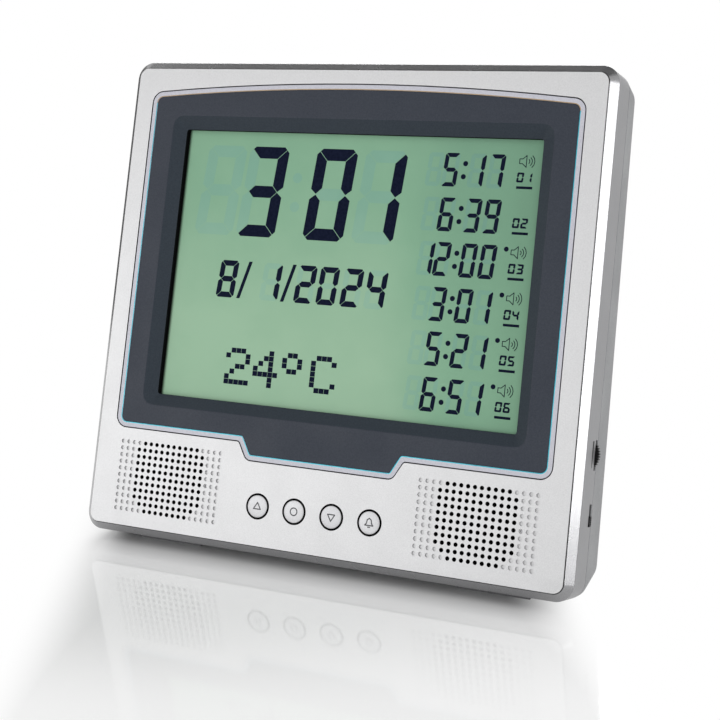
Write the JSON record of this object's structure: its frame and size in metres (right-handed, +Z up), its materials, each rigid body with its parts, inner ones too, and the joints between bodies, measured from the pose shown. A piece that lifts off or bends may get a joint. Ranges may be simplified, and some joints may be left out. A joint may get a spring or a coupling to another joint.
{
  "type": "azan clock",
  "caption": "Leaning table and wall clock with a large reflective LCD in a slate bezel, loudspeaker grilles, round buttons, volume wheel, slide switch and fold-out stand.",
  "frame": {"origin": "middle of the footprint on the surface the clock stands on", "axes": "+X to the right of the display, +Y from the face towards the back, +Z up; the face leans back"},
  "size_m": [0.233, 0.0858, 0.215],
  "materials": {
    "back_silver": "fine satin silver",
    "basket_steel": "zinc grey",
    "battery_wrap": "plain wrap",
    "bezel_slate": "smooth slate grey",
    "black_plastic": "matt black",
    "board_green": "solder mask",
    "button_silver": "smooth silver grey",
    "case_silver": "fine satin silver",
    "cloth_black": "woven dust cloth",
    "cone_paper": "pressed paper",
    "glass": "clear",
    "guide_white": "frosted",
    "holder_white": "matt",
    "lamp_white": "clear lamps",
    "lcd_film": "pale green reflective film",
    "magnet_iron": "ferrite",
    "metal_can": "bright",
    "rubber_black": "matt",
    "screw_steel": "zinc plated",
    "spring_steel": "nickel plated",
    "stem_black": "matt",
    "trim_pale": "smooth pale silver",
    "zebra_rubber": "soft"
  },
  "bodies": {
    "clock": {"back_case": "back_silver", "backlight_strip": "lamp_white", "battery_1": "battery_wrap", "battery_2": "battery_wrap", "battery_3": "battery_wrap", "board_screws": "screw_steel", "capacitors": "metal_can", "case_screws": "screw_steel", "contacts_minus": "spring_steel", "contacts_plus": "spring_steel", "controller_chip": "black_plastic", "display_bezel": "bezel_slate", "display_trim": "trim_pale", "front_case": "case_silver", "front_polariser": "lcd_film", "grille_cloth_left": "cloth_black", "grille_cloth_right": "cloth_black", "key_board": "board_green", "key_switches": "black_plastic", "lcd_front_glass": "glass", "lcd_holder": "holder_white", "lcd_rear_glass": "glass", "light_guide": "guide_white", "main_board": "board_green", "power_jack": "black_plastic", "quartz_crystal": "metal_can", "rear_polariser": "lcd_film", "rubber_feet": "rubber_black", "side_board": "board_green", "slide_switch": "metal_can", "speaker_left_cone": "cone_paper", "speaker_left_frame": "basket_steel", "speaker_left_magnet": "magnet_iron", "speaker_right_cone": "cone_paper", "speaker_right_frame": "basket_steel", "speaker_right_magnet": "magnet_iron", "speaker_screws": "screw_steel", "stand_pin": "screw_steel", "volume_pot": "metal_can", "zebra_strip_lower": "zebra_rubber", "zebra_strip_upper": "zebra_rubber"},
    "button_up": {"button_up": "button_silver", "button_up_stem": "stem_black"},
    "button_set": {"button_set": "button_silver", "button_set_stem": "stem_black"},
    "button_down": {"button_down": "button_silver", "button_down_stem": "stem_black"},
    "button_sound": {"button_sound": "button_silver", "button_sound_stem": "stem_black"},
    "volume_wheel": {"volume_wheel": "black_plastic"},
    "slide_knob": {"slide_knob": "black_plastic"},
    "stand_leg": {"stand_leg": "back_silver"},
    "battery_door": {"battery_door": "back_silver"}
  },
  "joints": [
    {"name": "press_up", "type": "slide", "parent": "clock", "child": "button_up", "axis": [0, 0.9715, -0.2368], "range_m": [0, 0.0008], "stiffness_N_per_m": 1500},
    {"name": "press_set", "type": "slide", "parent": "clock", "child": "button_set", "axis": [0, 0.9715, -0.2368], "range_m": [0, 0.0008], "stiffness_N_per_m": 1500},
    {"name": "press_down", "type": "slide", "parent": "clock", "child": "button_down", "axis": [0, 0.9715, -0.2368], "range_m": [0, 0.0008], "stiffness_N_per_m": 1500},
    {"name": "press_sound", "type": "slide", "parent": "clock", "child": "button_sound", "axis": [0, 0.9715, -0.2368], "range_m": [0, 0.0008], "stiffness_N_per_m": 1500},
    {"name": "volume_turn", "type": "hinge", "parent": "clock", "child": "volume_wheel", "pos_m": [0.1093, -0.01184, 0.05895], "axis": [0, 0.9715, -0.2368], "range_deg": [-135, 135]},
    {"name": "mode_slide", "type": "slide", "parent": "clock", "child": "slide_knob", "axis": [0, 0.2368, 0.9715], "range_m": [0, 0.0045]},
    {"name": "stand_fold", "type": "hinge", "parent": "clock", "child": "stand_leg", "pos_m": [0, 0.01857, 0.08993], "axis": [-1, 0, 0], "range_deg": [0, 18.2]},
    {"name": "battery_door_open", "type": "hinge", "parent": "clock", "child": "battery_door", "pos_m": [0, 0.02459, 0.10617], "axis": [-1, 0, 0], "range_deg": [0, 70]}
  ]
}
